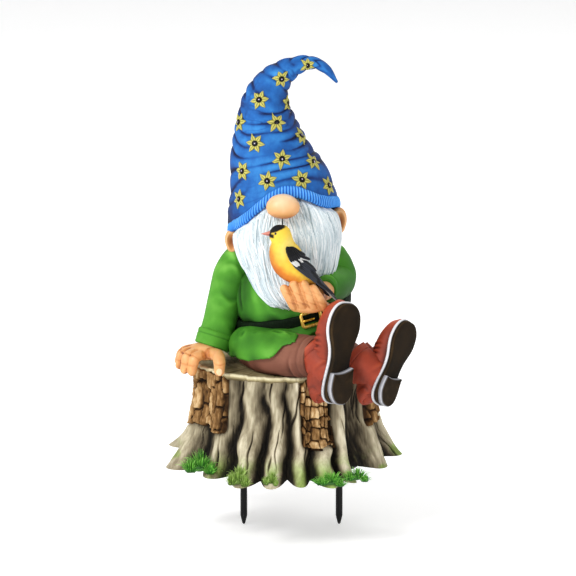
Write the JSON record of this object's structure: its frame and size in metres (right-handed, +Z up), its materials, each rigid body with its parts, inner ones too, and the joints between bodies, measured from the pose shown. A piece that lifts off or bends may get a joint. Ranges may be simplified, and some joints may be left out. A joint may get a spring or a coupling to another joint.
{
  "type": "garden stake figure",
  "caption": "Bearded gnome in a tall curled hat seated on a tree stump with a small bird in one hand, on steel ground stakes.",
  "frame": {"origin": "on the ground plane, at the centre of the base plate's underside, midway between the two ground stakes", "axes": "+Z up, the figure faces -Y, +X towards the figure's left hand"},
  "size_m": [0.2143, 0.2107, 0.415],
  "materials": {
    "black_steel": "gloss black enamel on steel rod",
    "zinc_steel": "bright zinc-plated steel",
    "plate": "dark moulded plate, matt",
    "stump_wood": "painted weathered grey wood grain, matt",
    "cut_wood": "painted cut wood, matt",
    "bark": "painted rough brown bark, matt",
    "grass": "bright green grass, satin",
    "moss": "yellow-green moss, matt",
    "skin": "painted peach skin, satin",
    "hair": "painted silver-white hair strands, matt",
    "hat_cloth": "painted blue cloth with yellow flowers, matt",
    "hat_rib": "painted bright blue ribbed knit, matt",
    "tunic_cloth": "painted green cloth, matt",
    "trouser_cloth": "painted maroon-brown cloth, matt",
    "belt_leather": "painted near-black green leather, satin",
    "buckle_gold": "painted gold, glossy",
    "boot_leather": "painted red-brown leather, satin",
    "boot_welt": "painted white welt, satin",
    "boot_sole": "painted dark brown sole, matt",
    "boot_heel": "painted grey heel side, satin",
    "bird_plumage": "painted yellow and orange feathers, matt",
    "bird_bill": "painted pink-red bill, satin",
    "bird_feather": "painted black and white flight feathers, matt"
  },
  "bodies": {
    "figure": {"stake_socket_right": "zinc_steel", "stake_socket_left": "zinc_steel", "base_screw_1": "zinc_steel", "base_screw_2": "zinc_steel", "base_screw_3": "zinc_steel", "base_screw_4": "zinc_steel", "base_plate": "plate", "seat_bolt": "zinc_steel", "seat_insert": "zinc_steel", "neck_dowel": "zinc_steel", "nose": "skin", "hat_brim": "hat_rib", "ear_right": "skin", "ear_left": "skin", "bird_pin": "zinc_steel", "bird_beak": "bird_bill", "bird_wing_near": "bird_feather", "bird_wing_far": "bird_feather", "bird_tail": "bird_feather", "bird_body": "bird_plumage", "hand_left": "skin", "buckle_frame": "buckle_gold", "buckle_prong": "buckle_gold", "belt": "belt_leather", "boot_right_heel": "boot_heel", "boot_right_sole": "boot_sole", "boot_right_welt": "boot_welt", "boot_right_foot": "boot_leather", "boot_right_shaft": "boot_leather", "boot_left_heel": "boot_heel", "boot_left_sole": "boot_sole", "boot_left_welt": "boot_welt", "boot_left_foot": "boot_leather", "boot_left_shaft": "boot_leather", "hand_right": "skin", "stump_top": "cut_wood", "head": "skin", "hat_cone": "hat_cloth", "beard": "hair", "cuff_right": "tunic_cloth", "sleeve_right": "tunic_cloth", "sleeve_left": "tunic_cloth", "tunic_body": "tunic_cloth", "trouser_leg_right": "trouser_cloth", "trouser_leg_left": "trouser_cloth", "trouser_seat": "trouser_cloth", "tunic_skirt": "tunic_cloth", "grass_side": "grass", "moss_front_right": "moss", "moss_front": "moss", "grass_front": "grass", "grass_front_left": "grass", "bark_right": "bark", "bark_front": "bark", "bark_left": "bark", "bark_back": "bark", "stump": "stump_wood"},
    "stake_right": {"stake_right": "black_steel"},
    "stake_left": {"stake_left": "black_steel"}
  },
  "joints": [
    {"name": "stake_right_pull", "type": "slide", "parent": "figure", "child": "stake_right", "axis": [0, 0, -1], "range_m": [0, 0.04]},
    {"name": "stake_left_pull", "type": "slide", "parent": "figure", "child": "stake_left", "axis": [0, 0, -1], "range_m": [0, 0.04]}
  ]
}
